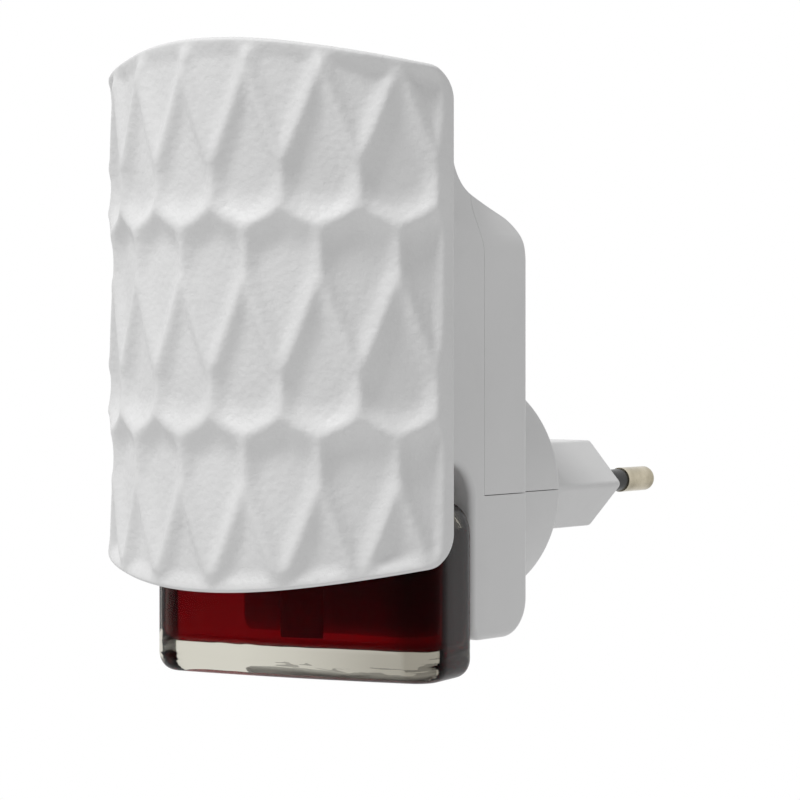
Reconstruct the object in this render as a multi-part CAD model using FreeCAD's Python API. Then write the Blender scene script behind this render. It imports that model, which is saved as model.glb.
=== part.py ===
import FreeCAD, Part
import math
import os

# Plug-in scented oil warmer: curved facet shade, two-shell housing, swivelling plug and glass refill.
# Lengths are millimetres. The origin is the centre of the plug nose's end face, where it meets the
# socket. +Y points into the wall, +Z is up and the shade faces -Y.

Vector = FreeCAD.Vector
AXIS_X = Vector(1, 0, 0)
AXIS_Y = Vector(0, 1, 0)
AXIS_Z = Vector(0, 0, 1)

# General values
overrun = 2.0
seat_gap = 0.05
seam_gap = 0.12
upright_seam_gap = 0.05
full_turn = 360.0

# Plug nose and pins
nose_length = 19.2
nose_width = 34.0
nose_height = 13.8
nose_flat_width = 21.6
nose_edge_radius = 0.9
pin_radius = 2.0
pin_core_radius = 1.5
pin_spacing = 18.6
pin_reach = 18.5
pin_tip_radius = 1.2
pin_head_radius = 2.8
pin_head_thickness = 0.9
sleeve_radius = 1.8
sleeve_reach = 10.3
sleeve_depth = 2.2

# Round plug base
puck_radius = 18.2
puck_thickness = 11.4
puck_edge_radius = 0.9
puck_wall = 1.6
puck_back_wall = 2.2
block_plate_width = 28.6
block_plate_height = 15.0
block_plate_thickness = 2.1
plug_screw_radius = 0.9
plug_screw_head_radius = 1.6
plug_screw_head_height = 1.2
plug_screw_x = 12.6
plug_screw_boss_radius = 2.1
plug_screw_reach = 6.0
plug_screw_depth = 7.6

# Swivel
swivel_gap = 0.2
swivel_clearance = 0.08
swivel_neck_radius = 10.1
swivel_neck_wall = 1.5
swivel_flange_radius = 12.8
swivel_flange_thickness = 1.6
washer_thickness = 0.5
washer_margin = 0.4

# Contacts
contact_disc_radius = 9.6
contact_disc_thickness = 1.2
ring_outer_radius = 7.3
ring_inner_radius = 3.7
ring_width = 1.4
ring_thickness = 0.6
link_radius = 0.5
link_bar_height = 2.0
link_bar_thickness = 0.8
contact_gap = 0.15
spring_width = 3.0
spring_thickness = 0.4
spring_foot = 3.4
spring_rise = 4.2
spring_tip = 1.6
board_side_gap = 0.3
board_thickness = 1.6
board_bottom_z = -14.0
board_top_z = 12.0
board_gap = 3.3
board_screw_margin = 3.0
board_screw_z = -11.0
board_post_radius = 2.2

# Housing
housing_width = 40.4
housing_wall = 1.8
housing_edge_radius = 1.0
lower_depth = 14.3
seam_depth = 11.2
upper_back_depth = 15.8
housing_depth = 43.4
housing_top_z = 58.0
housing_bottom_z = -21.5
pocket_z = 5.0
pocket_radius = 5.5
bottom_back_radius = 5.6
bottom_front_radius = 2.6
top_radius = 2.4
shoulder_z = 43.6
shoulder_drop = 3.5
shoulder_radius = 7.5
scoop_radius = 8.0
side_shoulder_low_z = 37.4
side_shoulder_high_z = 43.6
side_shoulder_radius = 9.0
side_shoulder_inset = 2.6
lip_depth = 1.2
lip_thickness = 0.8
lip_gap = 0.1

# Screws shared by the covers
screw_radius = 1.3
screw_head_radius = 2.4
screw_head_height = 1.6
cover_boss_radius = 3.2
cover_boss_bite = 0.3
cover_boss_reach = 7.3
cover_screw_recess = 2.2
cover_screw_tail = 5.0
cover_screw_zs = (10.6, 32.6)
small_screw_radius = 0.9
small_screw_head_radius = 1.7
small_screw_head_height = 1.0

# Refill
bottle_width = 47.6
bottle_depth = 17.4
bottle_bottom_z = -26.4
bottle_shoulder_z = -0.4
bottle_front_radius = 200.0
bottle_corner_radius = 5.0
bottle_shoulder_radius = 3.9
bottle_foot_radius = 2.8
bottle_back_gap = 4.2
bottle_turn = 12.0
glass_wall = 2.0
glass_base = 4.6
neck_radius = 8.0
neck_bore_radius = 6.3
neck_height = 5.4
oil_gap_below_shoulder = 4.2
cap_radius = 9.4
cap_height = 8.6
cap_top_thickness = 1.4
cap_bore_radius = 5.4
wick_radius = 3.3
wick_top_z = 30.0
wick_floor_gap = 1.2
wick_plug_depth = 6.6
wick_plug_lip = 0.8

# Collar, heating parts and vapour duct
collar_clearance = 0.5
collar_wall = 1.2
collar_side_gap = 1.4
collar_plate_depth = 14.6
collar_flange_radius = 12.6
collar_plate_thickness = 1.8
collar_height = 9.0
collar_slot_width = 2.4
collar_slots = 4
collar_screw_margin = 2.4
heater_cup_radius = 12.0
heater_cup_wall = 1.4
heater_cup_height = 17.0
heater_cup_floor = 1.5
heater_cup_bore_radius = 6.0
heater_notch_width = 13.0
heater_notch_height = 7.0
heater_ring_height = 12.0
heater_ring_bore_radius = 5.2
heater_part_radius = 7.8
heater_part_angle = 28.0
heater_part_rise = 1.2
heater_part_gap = 0.1
resistor_radius = 1.7
resistor_length = 9.6
fuse_radius = 1.45
fuse_length = 8.8
heater_wire_radius = 0.4
lead_radius = 0.8
duct_width = 19.0
duct_wall = 1.2
duct_gap = 0.4
duct_back_gap = 3.8
duct_plate_thickness = 1.2
duct_lip = 0.6

# Shade
shade_radius = 38.0
shade_wall = 2.6
shade_half_angle = 59.3
shade_housing_gap = 1.37095
shade_top_z = 66.4
shade_top_drop = 5.0
shade_bottom_z = -12.5
shade_bottom_drop = 4.3
shade_corner_radius = 5.0
shade_boss_radius = 3.2
shade_boss_x = 13.1
shade_boss_zs = (16.0, 46.0)
shade_screw_reach = 3.6
facet_depth = 1.1
facet_margin = 2.6
facet_margin_angle = 4.0
facet_pitch_angle = 17.0
facet_row_height = 29.7
facet_first_row_z = -18.4
facet_rows = 3
facet_up_angle = -3.8
facet_columns = 9
up_cell_shares = ((-0.5, 0.03), (-0.5, 0.19), (0.0, 0.82), (0.5, 0.19), (0.5, 0.03), (0.0, -0.03))
up_cell_low_share = (0.0, 0.2)
down_cell_shares = ((0.0, 0.19), (-0.5, 0.82), (-0.5, 0.97), (0.0, 1.03), (0.5, 0.97), (0.5, 0.82))
down_cell_low_share = (0.0, 0.84)

# Places that follow from the sizes
puck_back_y = -nose_length
puck_front_y = puck_back_y - puck_thickness
rear_y = puck_front_y - swivel_gap
wall_inner_y = rear_y - housing_wall
washer_front_y = wall_inner_y - washer_thickness
flange_back_y = washer_front_y - swivel_clearance
flange_front_y = flange_back_y - swivel_flange_thickness
disc_front_y = flange_front_y - contact_disc_thickness
ring_front_y = disc_front_y - ring_thickness
board_back_y = ring_front_y - board_gap
board_front_y = board_back_y - board_thickness
lower_front_y = rear_y - lower_depth
seam_y = rear_y - seam_depth
upper_back_y = rear_y - upper_back_depth
front_y = rear_y - housing_depth
half_width = housing_width / 2
inner_half_width = half_width - housing_wall
collar_plate_width = 2 * (inner_half_width - collar_side_gap)
collar_screw_x = collar_plate_width / 2 - collar_screw_margin
wick_y = lower_front_y - bottle_back_gap - bottle_depth / 2
ceiling_z = pocket_z + housing_wall
collar_top_z = pocket_z + collar_height
cup_top_z = collar_top_z + heater_cup_height
heater_floor_z = collar_top_z + heater_cup_floor
heater_top_z = heater_floor_z + heater_ring_height
cover_boss_x = inner_half_width - cover_boss_radius + cover_boss_bite
board_width = 2 * (cover_boss_x - cover_boss_radius - board_side_gap)
board_screw_x = board_width / 2 - board_screw_margin
# The shade's inner face clears the front corners of the housing.
shade_inner_radius = shade_radius - shade_wall
shade_axis_y = front_y - shade_housing_gap + math.sqrt(shade_inner_radius ** 2 - half_width ** 2)
glass_floor_z = bottle_bottom_z + glass_base
oil_top_z = bottle_shoulder_z - oil_gap_below_shoulder
pin_x = pin_spacing / 2


def box(x0, x1, y0, y1, z0, z1):
    return Part.makeBox(x1 - x0, y1 - y0, z1 - z0, Vector(x0, y0, z0))


def rod_y(x, z, radius, y0, y1):
    return Part.makeCylinder(radius, y1 - y0, Vector(x, y0, z), AXIS_Y)


def rod_z(x, y, radius, z0, z1):
    return Part.makeCylinder(radius, z1 - z0, Vector(x, y, z0), AXIS_Z)


def polygon_face(points):
    return Part.Face(Part.makePolygon(list(points) + [points[0]]))


def rounded_wire(corners):
    # A closed wire in the side plane. Each corner is (y, z, radius), with radius zero for a sharp one.
    count = len(corners)
    stops = []
    for index in range(count):
        y, z, radius = corners[index]
        here = Vector(0, y, z)
        last = Vector(0, *corners[index - 1][:2])
        following = Vector(0, *corners[(index + 1) % count][:2])
        if radius == 0:
            stops.append((here, here, here))
            continue
        back = (last - here).normalize()
        onward = (following - here).normalize()
        half_angle = back.getAngle(onward) / 2
        reach = radius / math.tan(half_angle)
        middle = (back + onward).normalize() * (radius / math.sin(half_angle) - radius)
        stops.append((here + back * reach, here + middle, here + onward * reach))
    edges = []
    for index in range(count):
        start, middle, end = stops[index]
        if (end - start).Length > 0:
            edges.append(Part.Arc(start, middle, end).toShape())
        edges.append(Part.LineSegment(end, stops[(index + 1) % count][0]).toShape())
    return Part.Wire(edges)


def slab(wire, half_thickness):
    face = Part.Face(wire)
    face.translate(Vector(-half_thickness, 0, 0))
    return face.extrude(AXIS_X * (2 * half_thickness))


def fillet_where(shape, radius, test):
    return shape.makeFillet(radius, [edge for edge in shape.Edges if test(edge)])


def screw_y(x, z, shank, head, head_height, y_head, y_tip):
    # A round-headed screw along Y. The head stands on the side away from the tip.
    step = math.copysign(head_height, y_head - y_tip)
    low, high = sorted((y_head, y_tip))
    head_low, head_high = sorted((y_head, y_head + step))
    shank_rod = rod_y(x, z, shank, low, high)
    return shank_rod.fuse(rod_y(x, z, head, head_low, head_high))


def wire_run(points, radius):
    # A round wire through the points, with a ball at each bend.
    solids = []
    for start, end in zip(points, points[1:]):
        run = end - start
        solids.append(Part.makeCylinder(radius, run.Length, start, run))
    for point in points:
        solids.append(Part.makeSphere(radius, point))
    return solids[0].fuse(solids[1:]).removeSplitter()


# Housing shells
def housing_wire():
    slope_y = (rear_y + upper_back_y) / 2
    return rounded_wire((
        (front_y, pocket_z, 0),
        (front_y, housing_top_z, top_radius),
        (upper_back_y, housing_top_z, top_radius),
        (upper_back_y, shoulder_z + shoulder_drop, scoop_radius),
        (slope_y, shoulder_z, 0),
        (rear_y, shoulder_z - shoulder_drop, shoulder_radius),
        (rear_y, housing_bottom_z, bottom_back_radius),
        (lower_front_y, housing_bottom_z, bottom_front_radius),
        (lower_front_y, pocket_z, pocket_radius),
    ))


def side_profile(inset):
    # The outline seen from the front, narrower above the shoulders, as a prism along Y.
    neck_x = half_width - side_shoulder_inset
    low_z = housing_bottom_z - overrun * 2
    high_z = housing_top_z + overrun * 2
    wire = rounded_wire((
        (-half_width, low_z, 0), (half_width, low_z, 0),
        (half_width, side_shoulder_low_z, side_shoulder_radius),
        (neck_x, side_shoulder_high_z, side_shoulder_radius),
        (neck_x, high_z, 0), (-neck_x, high_z, 0),
        (-neck_x, side_shoulder_high_z, side_shoulder_radius),
        (-half_width, side_shoulder_low_z, side_shoulder_radius),
    ))
    if inset > 0:
        wire = wire.makeOffset2D(-inset, 2)
    face = Part.Face(wire)
    face.rotate(Vector(0, 0, 0), AXIS_Z, -full_turn / 4)
    face.translate(Vector(0, front_y - overrun, 0))
    return face.extrude(AXIS_Y * (housing_depth + 2 * overrun))


def inset_slab(inset):
    wire = housing_wire().makeOffset2D(-inset, 2)
    return slab(wire, half_width - inset).common(side_profile(inset))


def housing_shell():
    outer = slab(housing_wire(), half_width)
    outer = fillet_where(outer, housing_edge_radius,
                         lambda edge: all(abs(abs(v.X) - half_width) < seat_gap for v in edge.Vertexes))
    return outer.common(side_profile(0)).cut(inset_slab(housing_wall))


def cover_places():
    return [(side * cover_boss_x, z) for side in (-1, 1) for z in cover_screw_zs]


def shade_places():
    return [(side * shade_boss_x, z) for side in (-1, 1) for z in shade_boss_zs]


def duct_front_y():
    return front_y + housing_wall + duct_gap


def duct_back_y():
    return upper_back_y - housing_wall - duct_back_gap


def duct_block(inset, z0, z1):
    half = duct_width / 2 - inset
    return box(-half, half, duct_front_y() + inset, duct_back_y() - inset, z0, z1)


def swivel_bore():
    return rod_y(0, 0, swivel_neck_radius + swivel_clearance, wall_inner_y - overrun, rear_y + overrun)


def front_housing():
    body = housing_shell().cut(box(-housing_width, housing_width, seam_y, rear_y + overrun, 0, housing_top_z))
    added = []
    for x, z in cover_places():
        added.append(rod_y(x, z, cover_boss_radius, seam_y - cover_boss_reach, seam_y))
    wall_y = lower_front_y + housing_wall
    for side in (-1, 1):
        added.append(rod_y(side * board_screw_x, board_screw_z, board_post_radius,
                           wall_y - seat_gap, board_front_y))
    body = body.fuse(added)
    cuts = [swivel_bore(), duct_block(-seat_gap, housing_top_z - housing_wall - overrun,
                                      housing_top_z + overrun)]
    for x, z in cover_places():
        cuts.append(rod_y(x, z, screw_radius + seat_gap, seam_y - cover_screw_tail, seam_y + overrun))
    for side in (-1, 1):
        cuts.append(rod_y(side * board_screw_x, board_screw_z, small_screw_radius + seat_gap,
                          wall_y, board_front_y + overrun))
        cuts.append(rod_z(side * collar_screw_x, wick_y, small_screw_radius + seat_gap,
                          pocket_z + seat_gap, ceiling_z + overrun))
    for x, z in shade_places():
        cuts.append(rod_y(x, z, screw_radius + seat_gap, front_y - overrun,
                          front_y + housing_wall + overrun))
    collar_radius = cap_radius + collar_clearance + collar_wall
    cuts.append(rod_z(0, wick_y, collar_radius + seat_gap, pocket_z - overrun, ceiling_z + overrun))
    return body.cut(cuts)


def seam_strip(reach_y, reach_z):
    # The strip behind the upright seam and above the level one, as deep as the lip reaches.
    upright = box(-housing_width, housing_width, seam_y + upright_seam_gap - reach_y, seam_y + seam_gap + lip_depth,
                  pocket_z + pocket_radius, housing_top_z)
    level = box(-housing_width, housing_width, seam_y + seam_gap + lip_depth, rear_y,
                seam_gap - reach_z, seam_gap + lip_depth)
    return upright.fuse(level)


def rear_cover():
    zone = box(-housing_width, housing_width, seam_y + upright_seam_gap, rear_y + overrun, seam_gap, housing_top_z)
    body = housing_shell().common(zone)
    lip_inset = housing_wall + lip_gap
    inner = inset_slab(lip_inset + lip_thickness)
    seat = inset_slab(housing_wall - seat_gap).cut(inner).common(seam_strip(0, 0))
    lip = inset_slab(lip_inset).cut(inner).common(seam_strip(lip_depth, lip_depth))
    lip = lip.cut([rod_y(x, z, cover_boss_radius + lip_gap, seam_y - cover_boss_reach, seam_y + upright_seam_gap)
                   for x, z in cover_places()])
    body = body.fuse([seat, lip])
    flange_room = rod_y(0, 0, swivel_flange_radius + lip_gap, seam_y, wall_inner_y)
    body = body.cut(flange_room)
    bosses = [rod_y(x, z, cover_boss_radius, seam_y + upright_seam_gap, wall_inner_y + seat_gap)
              for x, z in cover_places()]
    body = body.fuse(bosses)
    cuts = [swivel_bore()]
    for x, z in cover_places():
        cuts.append(rod_y(x, z, screw_radius + seat_gap, seam_y - overrun, rear_y + overrun))
        cuts.append(rod_y(x, z, screw_head_radius + seat_gap,
                          rear_y - cover_screw_recess - screw_head_height, rear_y + overrun))
    return body.cut(cuts)


def cover_screws():
    head_y = rear_y - cover_screw_recess - screw_head_height
    return Part.makeCompound([
        screw_y(x, z, screw_radius, screw_head_radius, screw_head_height, head_y,
                seam_y - cover_screw_tail + seat_gap)
        for x, z in cover_places()])


# Shade
def shade_sector(inner_radius, outer_radius, half_angle, z0, z1):
    start = Vector(0, shade_axis_y, z0)
    side = polygon_face([start + Vector(0, -outer_radius, 0), start + Vector(0, -inner_radius, 0),
                         start + Vector(0, -inner_radius, z1 - z0),
                         start + Vector(0, -outer_radius, z1 - z0)])
    side.rotate(Vector(0, shade_axis_y, 0), AXIS_Z, -half_angle)
    return side.revolve(Vector(0, shade_axis_y, 0), AXIS_Z, 2 * half_angle)


def shade_outline(inset):
    # The front outline, with an arched top and bottom, as a prism through the shade.
    half = shade_radius * math.sin(math.radians(shade_half_angle))
    top = shade_top_z - inset
    bottom = shade_bottom_z + inset
    y = shade_axis_y - shade_radius - overrun
    low_left = Vector(-half, y, bottom + shade_bottom_drop)
    low_right = Vector(half, y, bottom + shade_bottom_drop)
    high_left = Vector(-half, y, top - shade_top_drop)
    high_right = Vector(half, y, top - shade_top_drop)
    edges = [Part.Arc(low_left, Vector(0, y, bottom), low_right).toShape(),
             Part.LineSegment(low_right, high_right).toShape(),
             Part.Arc(high_right, Vector(0, y, top), high_left).toShape(),
             Part.LineSegment(high_left, low_left).toShape()]
    return Part.Face(Part.Wire(edges)).extrude(AXIS_Y * (shade_radius + overrun))


def shade_point(angle, z, radius):
    turn = math.radians(angle)
    return Vector(radius * math.sin(turn), shade_axis_y - radius * math.cos(turn), z)


def facet_cutter(centre_angle, row_z, cell_shares, low_share):
    # A pyramid whose tip is the cell's lowest point and whose sides pass through the cell's outline.
    low_angle = centre_angle + low_share[0] * facet_pitch_angle
    tip = shade_point(low_angle, row_z + low_share[1] * facet_row_height, shade_radius - facet_depth)
    spread = (facet_depth + overrun) / facet_depth
    base = []
    for angle_share, height_share in cell_shares:
        edge = shade_point(centre_angle + angle_share * facet_pitch_angle,
                           row_z + height_share * facet_row_height, shade_radius)
        base.append(tip + (edge - tip) * spread)
    faces = []
    middle = sum(base, Vector()) / len(base)
    for index, point in enumerate(base):
        following = base[(index + 1) % len(base)]
        faces.append(polygon_face([tip, point, following]))
        faces.append(polygon_face([middle, following, point]))
    pyramid = Part.makeSolid(Part.makeShell(faces))
    if pyramid.Volume < 0:
        pyramid.reverse()
    return pyramid


def facet_cutters():
    zone = shade_sector(shade_radius - shade_wall, shade_radius + overrun,
                        shade_half_angle - facet_margin_angle, shade_bottom_z, shade_top_z)
    zone = zone.common(shade_outline(facet_margin))
    cutters = []
    for row in range(facet_rows):
        row_z = facet_first_row_z + row * facet_row_height
        for column in range(facet_columns):
            step = column - facet_columns // 2
            up_angle = facet_up_angle + step * facet_pitch_angle
            down_angle = up_angle + facet_pitch_angle / 2
            for angle, shares, low in ((up_angle, up_cell_shares, up_cell_low_share),
                                       (down_angle, down_cell_shares, down_cell_low_share)):
                if abs(angle) > shade_half_angle:
                    continue
                cutter = facet_cutter(angle, row_z, shares, low).common(zone)
                if cutter.Volume > 0:
                    cutters.append(cutter)
    return cutters


def front_shade():
    plate = shade_sector(shade_radius - shade_wall, shade_radius, shade_half_angle,
                         shade_bottom_z - overrun, shade_top_z + overrun)
    plate = plate.common(shade_outline(0))
    corner_x = shade_radius * math.sin(math.radians(shade_half_angle)) - shade_wall

    def is_corner(edge):
        near_side = all(abs(v.X) > corner_x - overrun for v in edge.Vertexes)
        return near_side and len(edge.Vertexes) == 2 and edge.Length < shade_wall * 2
    plate = fillet_where(plate, shade_corner_radius, is_corner)
    plate = plate.cut(facet_cutters())
    core = rod_z(0, shade_axis_y, shade_radius - shade_wall + seat_gap, shade_bottom_z, shade_top_z)
    bosses = []
    for x, z in shade_places():
        boss = rod_y(x, z, shade_boss_radius, shade_axis_y - shade_radius, front_y)
        bosses.append(boss.common(core))
    plate = plate.fuse(bosses)
    return plate.cut([rod_y(x, z, screw_radius + seat_gap, front_y - shade_screw_reach, front_y + overrun)
                      for x, z in shade_places()])


def shade_screws():
    head_y = front_y + housing_wall
    return Part.makeCompound([
        screw_y(x, z, screw_radius, screw_head_radius, screw_head_height, head_y,
                front_y - shade_screw_reach + seat_gap)
        for x, z in shade_places()])


# Plug
def nose_prism(y0, y1, grow):
    half = nose_width / 2 + grow
    flat = nose_flat_width / 2 + grow / 2
    height = nose_height / 2 + grow
    outline = [(-half, 0), (-flat, height), (flat, height), (half, 0), (flat, -height), (-flat, -height)]
    face = polygon_face([Vector(x, y0, z) for x, z in outline])
    return face.extrude(AXIS_Y * (y1 - y0))


def plug_shells():
    puck = rod_y(0, 0, puck_radius, puck_front_y, puck_back_y)
    puck = fillet_where(puck, puck_edge_radius, lambda edge: len(edge.Vertexes) == 1)
    neck = rod_y(0, 0, swivel_neck_radius, flange_front_y, puck_front_y + overrun)
    flange = rod_y(0, 0, swivel_flange_radius, flange_front_y, flange_back_y)
    body = puck.fuse([neck, flange])
    cavity = rod_y(0, 0, puck_radius - puck_wall, puck_front_y + puck_wall, puck_back_y - puck_back_wall)
    bore = rod_y(0, 0, swivel_neck_radius - swivel_neck_wall, flange_front_y - overrun,
                 puck_front_y + overrun)
    nose_hole = nose_prism(puck_back_y - puck_back_wall - overrun, puck_back_y + overrun, seat_gap)
    body = body.cut([cavity, bore, nose_hole])
    screw_y_place = puck_front_y + puck_wall + plug_screw_boss_radius
    bosses = [rod_z(side * plug_screw_x, screw_y_place, plug_screw_boss_radius,
                    -plug_screw_depth - overrun, plug_screw_reach + overrun) for side in (-1, 1)]
    inside = rod_y(0, 0, puck_radius - puck_wall + seat_gap, puck_front_y, puck_back_y)
    body = body.fuse([boss.common(inside) for boss in bosses])
    cuts = []
    for side in (-1, 1):
        cuts.append(rod_z(side * plug_screw_x, screw_y_place, plug_screw_radius + seat_gap,
                          -puck_radius, plug_screw_reach))
        cuts.append(rod_z(side * plug_screw_x, screw_y_place, plug_screw_head_radius + seat_gap,
                          -puck_radius, -plug_screw_depth + plug_screw_head_height))
    body = body.cut(cuts)
    reach = puck_radius + overrun
    depth = (flange_front_y - overrun, puck_back_y + overrun)
    upper = body.common(box(-reach, reach, depth[0], depth[1], seam_gap / 2, reach))
    lower = body.common(box(-reach, reach, depth[0], depth[1], -reach, -seam_gap / 2))
    return upper, lower


def plug_screws():
    place_y = puck_front_y + puck_wall + plug_screw_boss_radius
    screws = []
    for side in (-1, 1):
        shank = rod_z(side * plug_screw_x, place_y, plug_screw_radius,
                      -plug_screw_depth, plug_screw_reach - seat_gap)
        head = rod_z(side * plug_screw_x, place_y, plug_screw_head_radius,
                     -plug_screw_depth, -plug_screw_depth + plug_screw_head_height)
        screws.append(shank.fuse(head))
    return Part.makeCompound(screws)


def pin_block():
    plate_back_y = puck_back_y - puck_back_wall - seat_gap
    nose = nose_prism(plate_back_y, 0, 0)
    nose = fillet_where(nose, nose_edge_radius,
                        lambda edge: all(abs(v.Y) < seat_gap for v in edge.Vertexes)
                        or abs(edge.BoundBox.YLength - (0 - plate_back_y)) < seat_gap)
    plate = box(-block_plate_width / 2, block_plate_width / 2, plate_back_y - block_plate_thickness,
                plate_back_y, -block_plate_height / 2, block_plate_height / 2)
    body = nose.fuse(plate)
    cuts = []
    for side in (-1, 1):
        cuts.append(rod_y(side * pin_x, 0, pin_core_radius, plate_back_y - overrun * 2, overrun))
        cuts.append(rod_y(side * pin_x, 0, sleeve_radius, -sleeve_depth, overrun))
    return body.cut(cuts)


def plate_front_y():
    return puck_back_y - puck_back_wall - seat_gap - block_plate_thickness


def pin(side):
    x = side * pin_x
    core = rod_y(x, 0, pin_core_radius, plate_front_y() - pin_head_thickness, sleeve_reach)
    tip = rod_y(x, 0, pin_radius, sleeve_reach, pin_reach)
    tip = fillet_where(tip, pin_tip_radius,
                       lambda edge: len(edge.Vertexes) == 1 and edge.Vertexes[0].Y > pin_reach - seat_gap)
    head = rod_y(x, 0, pin_head_radius, plate_front_y() - pin_head_thickness, plate_front_y())
    return core.fuse([tip, head])


def pin_sleeve(side):
    x = side * pin_x
    outside = rod_y(x, 0, sleeve_radius, -sleeve_depth, sleeve_reach)
    return outside.cut(rod_y(x, 0, pin_core_radius, -sleeve_depth - overrun, sleeve_reach + overrun))


def pin_link(side, ring_radius):
    # A bar from the pin's head to the ring's radius, and a post from there through the contact disc.
    back_y = plate_front_y() - pin_head_thickness
    low_x, high_x = sorted((side * pin_x, side * ring_radius))
    bar = box(low_x - link_radius, high_x + link_radius, back_y - link_bar_thickness, back_y,
              -link_bar_height / 2, link_bar_height / 2)
    post = rod_y(side * ring_radius, 0, link_radius, disc_front_y, back_y - link_bar_thickness / 2)
    return bar.fuse(post)


def contact_disc():
    disc = rod_y(0, 0, contact_disc_radius, disc_front_y, flange_front_y)
    cuts = [rod_y(ring_outer_radius, 0, link_radius + seat_gap, disc_front_y - overrun,
                  flange_front_y + overrun),
            rod_y(-ring_inner_radius, 0, link_radius + seat_gap, disc_front_y - overrun,
                  flange_front_y + overrun)]
    return disc.cut(cuts)


def ring_y(mean_radius, width, y0, y1):
    outside = rod_y(0, 0, mean_radius + width / 2, y0, y1)
    return outside.cut(rod_y(0, 0, mean_radius - width / 2, y0 - overrun, y1 + overrun))


def friction_washer():
    inner = swivel_neck_radius + swivel_clearance
    outer = swivel_flange_radius - washer_margin
    return ring_y((inner + outer) / 2, outer - inner, washer_front_y, wall_inner_y)


# Board, springs and leads
def terminal_board():
    board = box(-board_width / 2, board_width / 2, board_front_y, board_back_y,
                board_bottom_z, board_top_z)
    return board.cut([rod_y(side * board_screw_x, board_screw_z, small_screw_radius + seat_gap,
                            board_front_y - overrun, board_back_y + overrun) for side in (-1, 1)])


def board_screws():
    return Part.makeCompound([
        screw_y(side * board_screw_x, board_screw_z, small_screw_radius, small_screw_head_radius,
                small_screw_head_height, board_back_y, lower_front_y + housing_wall + seat_gap)
        for side in (-1, 1)])


def contact_spring(tip_z, foot_side):
    # A leaf that stands on the board and bends to the ring. foot_side is where its foot lies.
    near_y = board_back_y
    far_y = ring_front_y - contact_gap - spring_thickness
    zs = [tip_z + spring_tip / 2, tip_z - spring_tip / 2,
          tip_z - spring_tip / 2 - spring_rise, tip_z - spring_tip / 2 - spring_rise - spring_foot]
    zs = [tip_z + foot_side * (tip_z - z) for z in zs]
    ys = [far_y, far_y, near_y, near_y]
    front = [Vector(-spring_width / 2, y, z) for y, z in zip(ys, zs)]
    back = [point + AXIS_Y * spring_thickness for point in front]
    return polygon_face(front + back[::-1]).extrude(AXIS_X * spring_width)


def spring_foot_z(tip_z, foot_side):
    reach = spring_tip / 2 + spring_rise + spring_foot / 2
    return tip_z + foot_side * reach


def heater_part_place(side):
    turn = math.radians(heater_part_angle) * side
    return Vector(heater_part_radius * math.sin(turn), wick_y + heater_part_radius * math.cos(turn), 0)


def lead(side, foot_z, part_top_z):
    # An insulated lead from the board, up inside the shells and over the cup's notch to its part.
    place = heater_part_place(side)
    board_y = board_front_y - lead_radius
    cup_back_y = wick_y + heater_cup_radius + lead_radius * 2
    over_z = heater_top_z + lead_radius * 2
    points = [Vector(side * lead_radius * 2, board_y, foot_z),
              Vector(side * lead_radius * 4, board_y, board_top_z),
              Vector(side * lead_radius * 6, board_y, heater_floor_z + heater_ring_height / 2),
              Vector(place.x, cup_back_y, over_z),
              Vector(place.x, place.y, over_z),
              Vector(place.x, place.y, part_top_z + lead_radius)]
    return wire_run(points, lead_radius)


# Heating parts
def bottle_collar():
    outer = cap_radius + collar_clearance + collar_wall
    plate = box(-collar_plate_width / 2, collar_plate_width / 2, wick_y - collar_plate_depth / 2,
                wick_y + collar_plate_depth / 2, ceiling_z, ceiling_z + collar_plate_thickness)
    flange = rod_z(0, wick_y, collar_flange_radius, ceiling_z, ceiling_z + collar_plate_thickness)
    body = plate.fuse([flange, rod_z(0, wick_y, outer, pocket_z, collar_top_z)])
    cuts = [rod_z(0, wick_y, cap_radius + collar_clearance, pocket_z - overrun, collar_top_z + overrun)]
    slot_z = ceiling_z + collar_plate_thickness
    for index in range(collar_slots):
        slot = box(0, outer + overrun, -collar_slot_width / 2, collar_slot_width / 2,
                   slot_z, collar_top_z + overrun)
        slot.rotate(Vector(), AXIS_Z, (index + 1 / 2) * full_turn / collar_slots)
        slot.translate(Vector(0, wick_y, 0))
        cuts.append(slot)
    for side in (-1, 1):
        cuts.append(rod_z(side * collar_screw_x, wick_y, small_screw_radius + seat_gap,
                          ceiling_z - overrun, slot_z + overrun))
    return body.cut(cuts)


def collar_screws():
    head_z = ceiling_z + collar_plate_thickness
    screws = []
    for side in (-1, 1):
        shank = rod_z(side * collar_screw_x, wick_y, small_screw_radius, pocket_z + seat_gap * 2, head_z)
        head = rod_z(side * collar_screw_x, wick_y, small_screw_head_radius, head_z,
                     head_z + small_screw_head_height)
        screws.append(shank.fuse(head))
    return Part.makeCompound(screws)


def heater_cup():
    body = rod_z(0, wick_y, heater_cup_radius, collar_top_z, cup_top_z)
    notch_y = wick_y + heater_cup_radius - heater_cup_wall * 3
    cuts = [rod_z(0, wick_y, heater_cup_radius - heater_cup_wall, heater_floor_z, cup_top_z + overrun),
            rod_z(0, wick_y, heater_cup_bore_radius, collar_top_z - overrun, cup_top_z),
            box(-heater_notch_width / 2, heater_notch_width / 2, notch_y,
                wick_y + heater_cup_radius + overrun, heater_top_z - seat_gap, cup_top_z + overrun)]
    return body.cut(cuts)


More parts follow.
